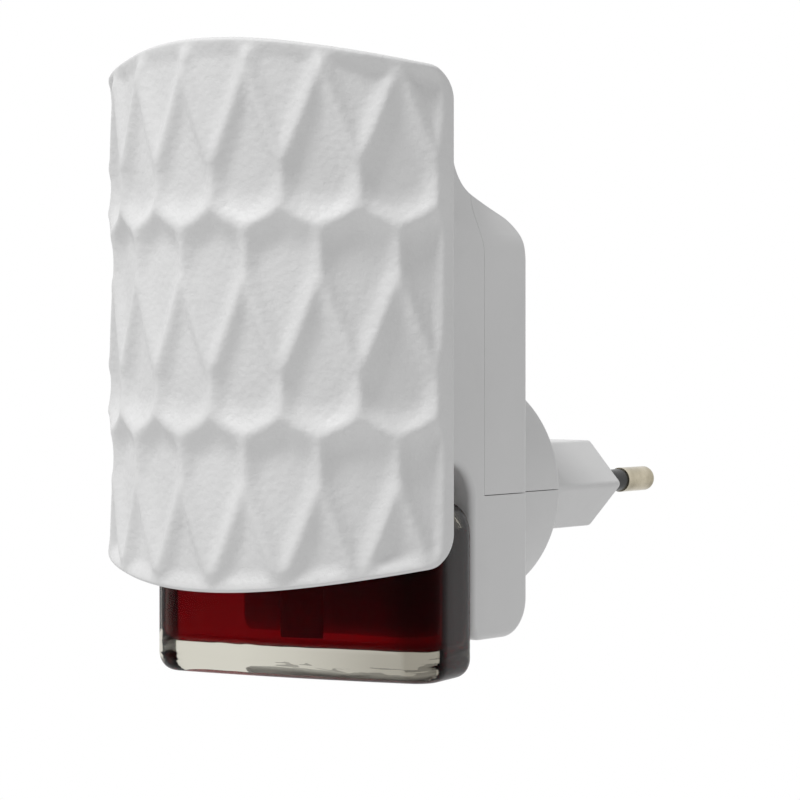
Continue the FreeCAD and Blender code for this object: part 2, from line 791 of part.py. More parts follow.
def heater_ring():
    body = rod_z(0, wick_y, heater_cup_radius - heater_cup_wall - seat_gap, heater_floor_z, heater_top_z)
    resistor = heater_part_place(-1)
    fuse = heater_part_place(1)
    base_z = heater_floor_z + heater_part_rise
    cuts = [rod_z(0, wick_y, heater_ring_bore_radius, heater_floor_z - overrun, heater_top_z + overrun),
            rod_z(resistor.x, resistor.y, resistor_radius + heater_part_gap, base_z - heater_part_gap,
                  heater_top_z + overrun),
            rod_z(fuse.x, fuse.y, fuse_radius + heater_part_gap, base_z - heater_part_gap,
                  heater_top_z + overrun),
            box(resistor.x - heater_wire_radius * 2, fuse.x + heater_wire_radius * 2,
                fuse.y - heater_wire_radius - heater_part_gap,
                fuse.y + heater_wire_radius + heater_part_gap, heater_floor_z - overrun, base_z)]
    return body.cut(cuts)


def heater_part(side, radius, length):
    place = heater_part_place(side)
    base_z = heater_floor_z + heater_part_rise
    body = rod_z(place.x, place.y, radius, base_z, base_z + length)
    return body.makeFillet(radius / 3, [edge for edge in body.Edges if len(edge.Vertexes) == 1])


def heater_link():
    resistor = heater_part_place(-1)
    fuse = heater_part_place(1)
    z = heater_floor_z + heater_part_rise - heater_wire_radius - heater_part_gap
    return wire_run([Vector(resistor.x, resistor.y, z), Vector(fuse.x, fuse.y, z)], heater_wire_radius)


def vapour_duct():
    duct = duct_block(0, cup_top_z, housing_top_z + duct_lip)
    plate = rod_z(0, wick_y, heater_cup_radius, cup_top_z, cup_top_z + duct_plate_thickness)
    body = duct.fuse(plate)
    return body.cut(duct_block(duct_wall, cup_top_z - overrun, housing_top_z + duct_lip + overrun))


# Refill
def rounded_block(inset, z0, z1, corner_radius):
    # The front is bowed like the shade; the other three sides are flat.
    half_x = bottle_width / 2 - inset
    half_y = bottle_depth / 2 - inset
    block = box(-half_x, half_x, wick_y - half_y, wick_y + half_y, z0, z1)
    bow_y = wick_y - bottle_depth / 2 + bottle_front_radius
    block = block.common(rod_z(0, bow_y, bottle_front_radius - inset, z0, z1))
    block = fillet_where(block, corner_radius,
                         lambda edge: abs(edge.BoundBox.ZLength - (z1 - z0)) < seat_gap)
    block.rotate(Vector(0, wick_y, 0), AXIS_Z, bottle_turn)
    return block


def bottle_cavity():
    half_wall = glass_wall / 2
    cavity = rounded_block(glass_wall, glass_floor_z, bottle_shoulder_z - glass_wall,
                           bottle_corner_radius - half_wall)
    return fillet_where(cavity, bottle_shoulder_radius - half_wall,
                        lambda edge: all(v.Z > bottle_shoulder_z - glass_wall - seat_gap
                                         for v in edge.Vertexes))


def refill_bottle():
    body = rounded_block(0, bottle_bottom_z, bottle_shoulder_z, bottle_corner_radius)
    body = fillet_where(body, bottle_shoulder_radius,
                        lambda edge: all(v.Z > bottle_shoulder_z - seat_gap for v in edge.Vertexes))
    body = fillet_where(body, bottle_foot_radius,
                        lambda edge: all(v.Z < bottle_bottom_z + seat_gap for v in edge.Vertexes))
    neck = rod_z(0, wick_y, neck_radius, bottle_shoulder_z - glass_wall, bottle_shoulder_z + neck_height)
    body = body.fuse(neck)
    bore = rod_z(0, wick_y, neck_bore_radius, bottle_shoulder_z - glass_wall - overrun,
                 bottle_shoulder_z + neck_height + overrun)
    return body.cut([bottle_cavity(), bore])


def wick_solid(radius):
    return rod_z(0, wick_y, radius, glass_floor_z + wick_floor_gap, wick_top_z)


def fragrance_oil():
    level = box(-bottle_width, bottle_width, wick_y - bottle_depth, wick_y + bottle_depth,
                glass_floor_z, oil_top_z)
    return bottle_cavity().common(level).cut(wick_solid(wick_radius))


def neck_cap():
    low_z = bottle_shoulder_z + seat_gap * 2
    high_z = bottle_shoulder_z + cap_height
    body = rod_z(0, wick_y, cap_radius, low_z, high_z)
    inside = rod_z(0, wick_y, neck_radius + seat_gap, low_z - overrun, high_z - cap_top_thickness)
    opening = rod_z(0, wick_y, cap_bore_radius, low_z, high_z + overrun)
    return body.cut([inside, opening])


def wick_plug():
    neck_top_z = bottle_shoulder_z + neck_height
    body = rod_z(0, wick_y, neck_bore_radius - seat_gap, neck_top_z - wick_plug_depth, neck_top_z)
    lip = rod_z(0, wick_y, neck_radius, neck_top_z, neck_top_z + wick_plug_lip)
    return body.fuse(lip).cut(rod_z(0, wick_y, wick_radius, glass_floor_z, wick_top_z))


def build_parts():
    upper_shell, lower_shell = plug_shells()
    live_tip_z = ring_outer_radius
    neutral_tip_z = -ring_inner_radius
    part_base_z = heater_floor_z + heater_part_rise
    return {
        "front_shade": front_shade(),
        "shade_screws": shade_screws(),
        "front_housing": front_housing(),
        "rear_cover": rear_cover(),
        "cover_screws": cover_screws(),
        "friction_washer": friction_washer(),
        "terminal_board": terminal_board(),
        "board_screws": board_screws(),
        "contact_spring_live": contact_spring(live_tip_z, -1),
        "contact_spring_neutral": contact_spring(neutral_tip_z, -1),
        "lead_live": lead(1, spring_foot_z(live_tip_z, -1), part_base_z + fuse_length),
        "lead_neutral": lead(-1, spring_foot_z(neutral_tip_z, -1), part_base_z + resistor_length),
        "bottle_collar": bottle_collar(),
        "collar_screws": collar_screws(),
        "heater_cup": heater_cup(),
        "heater_ring": heater_ring(),
        "heater_resistor": heater_part(-1, resistor_radius, resistor_length),
        "thermal_fuse": heater_part(1, fuse_radius, fuse_length),
        "heater_link": heater_link(),
        "vapour_duct": vapour_duct(),
        "plug_shell_upper": upper_shell,
        "plug_shell_lower": lower_shell,
        "plug_screws": plug_screws(),
        "pin_block": pin_block(),
        "pin_live": pin(1),
        "pin_neutral": pin(-1),
        "sleeve_live": pin_sleeve(1),
        "sleeve_neutral": pin_sleeve(-1),
        "pin_link_live": pin_link(1, ring_outer_radius),
        "pin_link_neutral": pin_link(-1, ring_inner_radius),
        "contact_disc": contact_disc(),
        "contact_ring_outer": ring_y(ring_outer_radius, ring_width, ring_front_y, disc_front_y),
        "contact_ring_inner": ring_y(ring_inner_radius, ring_width, ring_front_y, disc_front_y),
        "refill_bottle": refill_bottle(),
        "fragrance_oil": fragrance_oil(),
        "neck_cap": neck_cap(),
        "wick_plug": wick_plug(),
        "wick": wick_solid(wick_radius),
    }


os.makedirs("parts", exist_ok=True)
for name, shape in build_parts().items():
    shape.exportStep(f"parts/{name}.step")
    print(name, len(shape.Solids), shape.isValid(), round(shape.Volume))
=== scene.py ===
import math
import bpy
import numpy as np
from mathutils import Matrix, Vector


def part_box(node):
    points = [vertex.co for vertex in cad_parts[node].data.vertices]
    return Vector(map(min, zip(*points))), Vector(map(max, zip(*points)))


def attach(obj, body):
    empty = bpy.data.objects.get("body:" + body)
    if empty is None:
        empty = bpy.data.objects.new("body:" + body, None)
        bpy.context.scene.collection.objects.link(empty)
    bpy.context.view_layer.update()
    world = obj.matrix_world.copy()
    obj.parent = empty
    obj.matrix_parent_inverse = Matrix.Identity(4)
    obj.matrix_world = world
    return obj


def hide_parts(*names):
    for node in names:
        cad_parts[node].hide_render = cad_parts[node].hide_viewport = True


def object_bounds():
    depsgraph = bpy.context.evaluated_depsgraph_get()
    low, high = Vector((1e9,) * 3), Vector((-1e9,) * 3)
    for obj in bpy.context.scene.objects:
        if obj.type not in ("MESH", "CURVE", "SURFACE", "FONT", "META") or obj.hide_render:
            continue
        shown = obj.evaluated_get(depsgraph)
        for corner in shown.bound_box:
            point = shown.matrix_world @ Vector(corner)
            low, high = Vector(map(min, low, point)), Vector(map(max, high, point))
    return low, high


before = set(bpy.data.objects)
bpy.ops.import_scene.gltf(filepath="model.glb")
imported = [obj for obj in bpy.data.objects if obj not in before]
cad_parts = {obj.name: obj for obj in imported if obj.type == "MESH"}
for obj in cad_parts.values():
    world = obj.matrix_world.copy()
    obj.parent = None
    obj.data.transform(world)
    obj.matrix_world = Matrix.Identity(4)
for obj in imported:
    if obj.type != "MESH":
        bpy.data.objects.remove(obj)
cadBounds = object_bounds()
print("frame loaded:", len(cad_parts), "nodes")

mm = 0.001
bpy.context.scene.view_settings.view_transform = "Standard"


# helpers

def clearSelection():
    if bpy.context.object and bpy.context.object.mode != "OBJECT":
        bpy.ops.object.mode_set(mode="OBJECT")
    bpy.ops.object.select_all(action="DESELECT")


def startPiece(name):
    piece = bpy.context.object
    piece.name = name
    piece.data.name = name
    return piece


def selectOnly(piece):
    clearSelection()
    piece.select_set(True)
    bpy.context.view_layer.objects.active = piece


def applyPlace(piece):
    selectOnly(piece)
    bpy.ops.object.transform_apply(location=True, rotation=True, scale=True)


def addRod(name, centre, radius, depth, turn=(0.0, 0.0, 0.0), sides=64):
    clearSelection()
    bpy.ops.mesh.primitive_cylinder_add(vertices=sides, radius=radius, depth=depth,
                                        location=centre, rotation=turn)
    piece = startPiece(name)
    applyPlace(piece)
    return piece


def bevelWhere(piece, width, segments, test):
    # bevels the edges whose two ends pass the test
    selectOnly(piece)
    bpy.ops.object.mode_set(mode="EDIT")
    bpy.ops.mesh.select_mode(type="EDGE")
    bpy.ops.mesh.select_all(action="DESELECT")
    bpy.ops.object.mode_set(mode="OBJECT")
    mesh = piece.data
    for edge in mesh.edges:
        a, b = (mesh.vertices[i].co for i in edge.vertices)
        edge.select = test(a, b)
    bpy.ops.object.mode_set(mode="EDIT")
    bpy.ops.mesh.bevel(offset=width, segments=segments, profile=0.5, affect="EDGES",
                       clamp_overlap=False)
    bpy.ops.object.mode_set(mode="OBJECT")


def combine(piece, other, operation):
    # cuts or joins another piece in, and removes it
    modifier = piece.modifiers.new("combine", "BOOLEAN")
    modifier.operation = operation
    modifier.solver = "EXACT"
    modifier.object = other
    selectOnly(piece)
    bpy.ops.object.modifier_apply(modifier=modifier.name)
    bpy.data.objects.remove(other, do_unlink=True)


def smoothByAngle(piece, degrees):
    selectOnly(piece)
    bpy.ops.object.shade_smooth_by_angle(angle=math.radians(degrees))


def joinPieces(piece, others):
    clearSelection()
    for other in others:
        other.select_set(True)
    piece.select_set(True)
    bpy.context.view_layer.objects.active = piece
    bpy.ops.object.join()


def tone(red, green, blue, alpha=1.0):
    # a screen colour from 0 to 255 as the linear colour that a shader takes
    out = []
    for value in (red, green, blue):
        share = value / 255
        out.append(share / 12.92 if share <= 0.04045 else ((share + 0.055) / 1.055) ** 2.4)
    return (*out, alpha)


# shader maths

class Wire:
    # one socket of a node tree; sums and products with it add Math nodes
    def __init__(self, paint, socket):
        self.paint = paint
        self.socket = socket

    def maths(self, operation, other):
        return self.paint.add("ShaderNodeMath", {"operation": operation}, [self, other])

    def __add__(self, other):
        return self.maths("ADD", other)

    def __mul__(self, other):
        return self.maths("MULTIPLY", other)


class Paint:
    # the node tree of a material or a world under construction
    def __init__(self, owner):
        owner.use_nodes = True
        self.owner = owner
        self.tree = owner.node_tree
        self.shader = self.tree.nodes.get("Principled BSDF")
        self.place = self.add("ShaderNodeTexCoord", out="Object")

    def add(self, kind, settings=None, values=None, out=0):
        node = self.tree.nodes.new(kind)
        for key, value in (settings or {}).items():
            setattr(node, key, value)
        pairs = values.items() if isinstance(values, dict) else enumerate(values or [])
        for key, value in pairs:
            self.feed(node.inputs[key], value)
        return Wire(self, node.outputs[out])

    def feed(self, socket, value):
        if isinstance(value, Wire):
            self.tree.links.new(value.socket, socket)
        else:
            socket.default_value = value

    def set(self, **values):
        for key, value in values.items():
            self.feed(self.shader.inputs[key.replace("_", " ")], value)

    def noise(self, scale, detail=2.0, roughness=0.5, distortion=0.0, vector=None):
        return self.add("ShaderNodeTexNoise", {"noise_dimensions": "3D"},
                        {"Vector": vector or self.place, "Scale": scale, "Detail": detail,
                         "Roughness": roughness, "Distortion": distortion}, out="Fac")

    def cells(self, scale, smoothness):
        return self.add("ShaderNodeTexVoronoi", {"voronoi_dimensions": "3D", "feature": "SMOOTH_F1"},
                        {"Vector": self.place, "Scale": scale, "Smoothness": smoothness},
                        out="Distance")

    def mapRange(self, value, low, high, toLow, toHigh):
        return self.add("ShaderNodeMapRange", {"clamp": True},
                        {"Value": value, "From Min": low, "From Max": high,
                         "To Min": toLow, "To Max": toHigh}, out="Result")

    def mix(self, share, first, second):
        return self.add("ShaderNodeMix", {"data_type": "RGBA"},
                        {"Factor": share, 6: first, 7: second}, out=2)

    def bump(self, height, distance, strength=1.0):
        return self.add("ShaderNodeBump", None,
                        {"Strength": strength, "Distance": distance, "Height": height}, out="Normal")

    def along(self, axis):
        return self.add("ShaderNodeSeparateXYZ", None, [self.place], out=axis)

    def stretched(self, scale):
        return self.add("ShaderNodeMapping", {"vector_type": "POINT"},
                        {"Vector": self.place, "Scale": scale})

    def blend(self, share, second, shader="Principled BSDF", output="Material Output"):
        # the owner's own shader and a second one, mixed by a share of the second
        first = Wire(self, self.tree.nodes[shader].outputs[0])
        mixer = self.add("ShaderNodeMixShader", None, {0: share, 1: first, 2: second})
        self.feed(self.tree.nodes[output].inputs["Surface"], mixer)


def newPaint(name):
    return Paint(bpy.data.materials.new(name))


# materials

shadeFinish = {
    "light": tone(222, 222, 222), "dark": tone(216, 216, 216),
    "cloudScale": 60.0, "cloudFrom": 0.35, "cloudTo": 0.65, "grainScale": 1500.0, "grainShare": 0.6,
    "grainRoughness": 0.6, "grainBend": 0.8, "poreScale": 900.0, "poreShare": 0.7, "poreBlend": 0.6,
    "depth": 0.11 * mm, "skinFrom": 0.2, "skinTo": 1.0, "shine": (0.47, 0.6), "ior": 1.46,
}


def makeShadeFinish():
    # off-white moulded plastic with the fine leather-like grain of the tool
    s = shadeFinish
    paint = newPaint("shadeGrain")
    cloud = paint.mapRange(paint.noise(s["cloudScale"], 3.0), s["cloudFrom"], s["cloudTo"], 0.0, 1.0)
    grain = paint.noise(s["grainScale"], 3.0, s["grainRoughness"], s["grainBend"])
    pores = paint.cells(s["poreScale"], s["poreBlend"])
    skin = grain * s["grainShare"] + pores * s["poreShare"]
    paint.set(Base_Color=paint.mix(cloud, s["light"], s["dark"]),
              Roughness=paint.mapRange(skin, s["skinFrom"], s["skinTo"], *s["shine"]),
              Normal=paint.bump(skin, s["depth"]), IOR=s["ior"])
    return paint.owner


satin = {
    "cloudScale": 45.0, "peelScale": 700.0, "low": 0.3, "high": 0.7, "smoother": 0.04, "rougher": 0.05,
    "strength": 0.6, "ior": 1.46,
}


def makeSatinPlastic(name, light, dark, roughness, relief=0.02 * mm):
    # smooth moulded plastic: faint clouding and a slight orange peel
    s = satin
    paint = newPaint(name)
    cloud = paint.mapRange(paint.noise(s["cloudScale"], 4.0), s["low"], s["high"], 0.0, 1.0)
    peel = paint.noise(s["peelScale"], 2.0)
    paint.set(Base_Color=paint.mix(cloud, light, dark),
              Roughness=paint.mapRange(peel, s["low"], s["high"], roughness - s["smoother"],
                                       roughness + s["rougher"]),
              Normal=paint.bump(peel, relief, s["strength"]), IOR=s["ior"])
    return paint.owner


metal = {
    "lineScale": 900.0, "lineRoughness": 0.6, "lineFrom": 0.3, "lineTo": 0.7, "stainScale": 260.0,
    "stainFrom": 0.35, "stainTo": 0.7, "smoother": 0.06, "rougher": 0.1, "depth": 0.01 * mm,
    "strength": 0.5,
}


def makeMetal(name, light, dark, roughness, brushScale=(1.0, 1.0, 1.0)):
    # plated or drawn metal with faint draw lines and tarnish
    s = metal
    paint = newPaint(name)
    lines = paint.noise(s["lineScale"], 3.0, s["lineRoughness"], 0.0, paint.stretched(brushScale))
    stain = paint.mapRange(paint.noise(s["stainScale"], 3.0), s["stainFrom"], s["stainTo"], 0.0, 1.0)
    paint.set(Base_Color=paint.mix(stain, light, dark), Metallic=1.0,
              Roughness=paint.mapRange(lines, s["lineFrom"], s["lineTo"], roughness - s["smoother"],
                                       roughness + s["rougher"]),
              Normal=paint.bump(lines, s["depth"], s["strength"]))
    return paint.owner


clear = {"roughness": 0.015, "sheen": (0.06, 0.06, 0.06, 1.0), "bentShare": 0.4}


def clearThrough(paint, weight, bentColour, ior):
    # part of the surface only bends the light, so that its sheen of white backdrop stays faint
    s = clear
    paint.set(Transmission_Weight=weight, Specular_Tint=s["sheen"], IOR=ior)
    bent = paint.add("ShaderNodeBsdfRefraction", None,
                     {"Color": bentColour, "Roughness": s["roughness"], "IOR": ior}, out="BSDF")
    for link in paint.shader.inputs["Normal"].links:
        paint.tree.links.new(link.from_socket, bent.socket.node.inputs["Normal"])
    paint.blend(s["bentShare"], bent)


# the dark second colour of the glass is painted reflection, laid on one end and one side of the foot
glassFinish = {
    "clear": tone(226, 224, 216), "paintedDarkReflection": tone(96, 90, 82), "bent": tone(216, 214, 204), "ior": 1.5,
    "waveScale": 70.0, "waveShare": 0.35, "streakScale": 170.0, "streakStretch": (0.35, 0.35, 2.6),
    "streakRoughness": 0.5, "streakBend": 0.6, "streakShare": 1.1, "depth": 0.2 * mm,
    "footFrom": -22.2 * mm, "footTo": -20.2 * mm, "endFrom": 16.0 * mm, "endTo": 20.5 * mm,
    "footPaintedDarkFrom": -6.0 * mm, "footPaintedDarkTo": 16.0 * mm, "footPaintedDark": 0.8,
}


def makeBottleGlass():
    # thick pressed glass, very slightly wavy, with level streaks in its base
    s = glassFinish
    paint = newPaint("bottleGlass")
    wave = paint.noise(s["waveScale"], 1.0)
    streaks = paint.noise(s["streakScale"], 2.0, s["streakRoughness"], s["streakBend"],
                          paint.stretched(s["streakStretch"]))
    low = paint.mapRange(paint.along("Z"), s["footFrom"], s["footTo"], 1.0, 0.0)
    # painted reflection and shade: one end and that side of the foot are painted darker, standing for the
    # dark surroundings that thick glass mirrors edge on
    across = paint.along("X")
    darkenedEnd = paint.mapRange(across, s["endFrom"], s["endTo"], 0.0, 1.0)
    darkenedFoot = low * paint.mapRange(across, s["footPaintedDarkFrom"], s["footPaintedDarkTo"], 0.0, s["footPaintedDark"])
    ripple = wave * s["waveShare"] + streaks * low * s["streakShare"]
    paint.set(Base_Color=paint.mix(darkenedEnd.maths("MAXIMUM", darkenedFoot), s["clear"], s["paintedDarkReflection"]),
              Roughness=clear["roughness"], Normal=paint.bump(ripple, s["depth"]))
    clearThrough(paint, 1.0, s["bent"], s["ior"])
    return paint.owner


# the oil's two colours are painted light and shade, the lighter one low and the darker one high
oilFinish = {
    "low": tone(188, 6, 30), "high": tone(120, 4, 20), "bent": tone(172, 2, 22), "ior": 1.46,
    "roughness": 0.02, "clearness": 0.82, "swirlScale": 40.0, "swirlReach": 4.0 * mm,
    "from": -24.0 * mm, "to": -6.0 * mm,
}


def makeOilFinish():
    # deep red oil with painted shade: darker higher up, in the shadow of the shade, and lighter towards
    # the bottle's floor
    s = oilFinish
    paint = newPaint("redOil")
    level = paint.along("Z") + paint.noise(s["swirlScale"], 2.0) * s["swirlReach"]
    share = paint.mapRange(level, s["from"], s["to"], 0.0, 1.0)
    paint.set(Base_Color=paint.mix(share, s["low"], s["high"]), Roughness=s["roughness"])
    clearThrough(paint, s["clearness"], s["bent"], s["ior"])
    return paint.owner


wickFinish = {
    "soaked": tone(170, 120, 110), "dry": tone(222, 212, 196), "dryFrom": 20.0 * mm, "roughness": 0.9,
    "fibreScale": 2600.0, "fibreStretch": (1.0, 1.0, 0.12), "fibreRoughness": 0.6, "depth": 0.15 * mm,
    "strength": 0.8,
}


def makeWickFibre():
    s = wickFinish
    paint = newPaint("wickFibre")
    fibre = paint.noise(s["fibreScale"], 3.0, s["fibreRoughness"], 0.0,
                        paint.stretched(s["fibreStretch"]))
    share = paint.mapRange(paint.along("Z"), 0.0, s["dryFrom"], 0.0, 1.0)
    paint.set(Base_Color=paint.mix(share, s["soaked"], s["dry"]), Roughness=s["roughness"],
              Normal=paint.bump(fibre, s["depth"], s["strength"]))
    return paint.owner


boardFinish = {
    "light": tone(150, 108, 62), "dark": tone(122, 84, 46), "roughness": 0.55, "weaveScale": 900.0,
    "weaveBend": 3.0, "depth": 0.02 * mm, "strength": 0.5,
}


def makeBoardFinish():
    s = boardFinish
    paint = newPaint("boardLaminate")
    weave = paint.add("ShaderNodeTexWave", {"wave_type": "BANDS", "bands_direction": "DIAGONAL"},
                      {"Vector": paint.place, "Scale": s["weaveScale"], "Distortion": s["weaveBend"]},
                      out="Fac")
    paint.set(Base_Color=paint.mix(weave, s["light"], s["dark"]), Roughness=s["roughness"],
              Normal=paint.bump(weave, s["depth"], s["strength"]))
    return paint.owner


finishes = {
    "shade": makeShadeFinish(),
    "housing": makeSatinPlastic("housingSatin", tone(218, 218, 218), tone(213, 213, 213), 0.42),
    "plug": makeSatinPlastic("plugSatin", tone(218, 218, 218), tone(212, 212, 212), 0.46),
    "inner": makeSatinPlastic("innerCream", tone(216, 212, 200), tone(206, 200, 186), 0.5),
    "ceramic": makeSatinPlastic("firedCeramic", tone(238, 234, 224), tone(228, 222, 210), 0.7, 0.06 * mm),
    "black": makeSatinPlastic("blackSleeve", tone(12, 12, 12), tone(8, 8, 8), 0.3),
    "capWhite": makeSatinPlastic("capWhite", tone(236, 236, 232), tone(228, 228, 224), 0.4),
    "washer": makeSatinPlastic("washerWhite", tone(240, 240, 236), tone(230, 230, 226), 0.3),
    "resistor": makeSatinPlastic("resistorCoat", tone(120, 140, 134), tone(98, 118, 112), 0.6, 0.05 * mm),
    "lead": makeSatinPlastic("leadSleeve", tone(232, 228, 214), tone(216, 210, 194), 0.75, 0.06 * mm),
    "nickel": makeMetal("pinNickel", tone(196, 187, 166), tone(150, 142, 122), 0.2, (1.0, 0.05, 1.0)),
    "brass": makeMetal("contactBrass", tone(212, 176, 98), tone(178, 138, 70), 0.28),
    "steel": makeMetal("screwSteel", tone(196, 196, 198), tone(160, 160, 164), 0.3),
    "fuseCan": makeMetal("fuseCan", tone(206, 206, 206), tone(176, 176, 178), 0.35),
    "glass": makeBottleGlass(),
    "oil": makeOilFinish(),
    "wick": makeWickFibre(),
    "board": makeBoardFinish(),
}

nodeFinishes = {
    "front_shade": "shade", "shade_screws": "steel", "front_housing": "housing", "rear_cover": "housing",
    "cover_screws": "steel", "friction_washer": "washer", "terminal_board": "board",
    "board_screws": "steel", "contact_spring_live": "brass", "contact_spring_neutral": "brass",
    "lead_live": "lead", "lead_neutral": "lead", "bottle_collar": "inner", "collar_screws": "steel",
    "heater_cup": "inner", "heater_ring": "ceramic", "heater_resistor": "resistor",
    "thermal_fuse": "fuseCan", "heater_link": "brass", "vapour_duct": "inner",
    "plug_shell_upper": "plug", "plug_shell_lower": "plug", "plug_screws": "steel", "pin_block": "plug",
    "pin_live": "nickel", "pin_neutral": "nickel", "sleeve_live": "black", "sleeve_neutral": "black",
    "pin_link_live": "brass", "pin_link_neutral": "brass", "contact_disc": "inner",
    "contact_ring_outer": "brass", "contact_ring_inner": "brass", "refill_bottle": "glass",
    "fragrance_oil": "oil", "neck_cap": "capWhite", "wick_plug": "capWhite", "wick": "wick",
}


def wear(piece, finish):
    piece.data.materials.clear()
    piece.data.materials.append(finishes[finish])


for node, finish in nodeFinishes.items():
    wear(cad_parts[node], finish)
print("materials on", len(nodeFinishes), "nodes")


# the embossed shade

shade = {
    "radius": 38.0 * mm, "halfAngle": 60.2, "wall": 2.9 * mm, "cornerRadius": 4.4 * mm,
    "topDrop": 5.0 * mm, "bottomDrop": 4.3 * mm, "rim": 0.6 * mm, "rimSteps": 4,
    "columns": 212, "rows": 222,
    "pitch": 17.0, "upAngle": -3.8, "rowHeight": 29.5 * mm, "firstRow": -18.2 * mm,
    "zigzag": 0.042, "zigzagPower": 1.6, "kneeShare": 0.2, "tipShare": 0.77, "depth": 2.2 * mm,
    "wallReach": 2.5 * mm, "endReach": 4.8 * mm, "taper": 0.42, "blur": 0.62 * mm,
    "crest": 0.35 * mm, "edgeTop": 1.5 * mm, "edgeLow": 1.05 * mm, "edgeSide": 0.28 * mm,
    "sideFrom": 0.42, "sideTo": 0.8, "fadeFrom": 0.3 * mm, "fadeTo": 3.2 * mm,
    "stripFrom": 1.9 * mm, "stripTo": 3.6 * mm, "stripLevel": 0.4 * mm, "stripTilt": 1.25 * mm,
    "fieldStep": 0.12 * mm, "smoothing": 40.0,
}

shadeBoss = {
    "radius": 3.2 * mm, "sides": 48, "x": 13.1 * mm, "zs": (16.0 * mm, 46.0 * mm), "sink": 2.4 * mm,
    "bevel": 0.3 * mm, "bevelSteps": 3, "endReach": 0.1 * mm,
}


def smoothStep(value, low, high):
    share = np.clip((value - low) / (high - low), 0.0, 1.0)
    return share * share * (3.0 - 2.0 * share)


def bowl(distance, reach):
    # rises from nought at a ridge to one at its reach, and is level from there
    share = np.clip(distance / reach, 0.0, 1.0)
    return 1 - (1 - share) ** 2


def scoopDepth(arc, height):
    # how far each point lies below the smooth cylinder, before blurring
    s = shade
    pitch = s["radius"] * math.radians(s["pitch"])
    column = (arc - s["radius"] * math.radians(s["upAngle"])) / pitch
    row = (height - s["firstRow"]) / s["rowHeight"]
    offset = np.abs(column - np.round(column))
    row = row + s["zigzag"] * (1 - 2 * (2 * offset) ** s["zigzagPower"])
    rise = row - np.floor(row)
    slantRun = s["tipShare"] - s["kneeShare"]
    slope = math.hypot(2 / pitch, 1 / (slantRun * s["rowHeight"]))
    slant = (1 - 2 * offset - (rise - s["kneeShare"]) / slantRun) / slope
    upWall = np.minimum((0.5 - offset) * pitch, slant)
    downWall = np.minimum(offset * pitch, -slant)
    scoops = []
    for wall, run in ((upWall, rise), (downWall, 1 - rise)):
        ends = bowl(run * s["rowHeight"], s["endReach"])
        scoops.append(bowl(wall, s["wallReach"]) * ends * (1 - s["taper"] * run))
    return s["depth"] * np.where(slant > 0, *scoops)


def blurred(field, sigma):
    # a soft blur, first down the columns and then along the rows
    half = int(math.ceil(sigma * 3))
    weights = np.exp(-(np.arange(-half, half + 1) / sigma) ** 2 / 2)
    weights = weights / weights.sum()
    for axis in (0, 1):
        edges = [(half, half) if number == axis else (0, 0) for number in (0, 1)]
        wide = np.pad(field, edges, mode="edge")
        field = np.apply_along_axis(lambda line: np.convolve(line, weights, mode="valid"),
                                    axis, wide)
    return field


def shadeOutline(arc, low, high):
    # top and bottom heights at each arc place, with the rounded corners
    s = shade
    halfArc = s["radius"] * math.radians(s["halfAngle"])
    halfWidth = s["radius"] * math.sin(math.radians(s["halfAngle"]))
    across = s["radius"] * np.sin(arc / s["radius"])
    archTop = high - s["topDrop"] * (across / halfWidth) ** 2
    archLow = low + s["bottomDrop"] * (across / halfWidth) ** 2
    into = np.clip(np.abs(arc) - (halfArc - s["cornerRadius"]), 0.0, s["cornerRadius"])
    corner = s["cornerRadius"] - np.sqrt(s["cornerRadius"] ** 2 - into ** 2)
    return archLow, archTop, corner


def edgeDistance(arc, height, low, high):
    # distance in from the outline, also round the corners
    s = shade
    halfArc = s["radius"] * math.radians(s["halfAngle"])
    archLow, archTop, corner = shadeOutline(arc, low, high)
    side = halfArc - np.abs(arc)
    level = np.minimum(archTop - height, height - archLow)
    cornerX = s["cornerRadius"] - side
    cornerZ = s["cornerRadius"] - level
    rounded = s["cornerRadius"] - np.hypot(np.maximum(cornerX, 0), np.maximum(cornerZ, 0))
    nearCorner = (cornerX > 0) & (cornerZ > 0)
    return np.where(nearCorner, rounded, np.minimum(side, level)), level, side


def gridPlaces(count, steps, rimShare):
    # evenly spaced from -1 to 1, with some extra lines in the rolled rim
    rim = np.linspace(0.0, rimShare, steps + 1)[:-1]
    middle = np.linspace(rimShare, 2 - rimShare, count - 2 * steps + 1)
    return np.concatenate([rim, middle, 2 - rim[::-1]]) - 1


def reliefAt(arcGrid, heightGrid, halfArc, low, high):
    # the scoops, blurred on an even grid and read back at the mesh's own places
    step = shade["fieldStep"]
    evenArc = np.arange(-halfArc, halfArc + step, step)
    evenHeight = np.arange(low, high + step, step)
    relief = blurred(scoopDepth(*np.meshgrid(evenArc, evenHeight)), shade["blur"] / step)
    # each place stays just short of the last line, so that there is a next one
    columnPlace = np.clip((arcGrid - evenArc[0]) / step, 0, len(evenArc) - 1.001)
    rowPlace = np.clip((heightGrid - evenHeight[0]) / step, 0, len(evenHeight) - 1.001)
    column, row = columnPlace.astype(int), rowPlace.astype(int)
    columnShare, rowShare = columnPlace - column, rowPlace - row
    lines = [relief[r, column] * (1 - columnShare) + relief[r, column + 1] * columnShare
             for r in (row, row + 1)]
    return lines[0] * (1 - rowShare) + lines[1] * rowShare


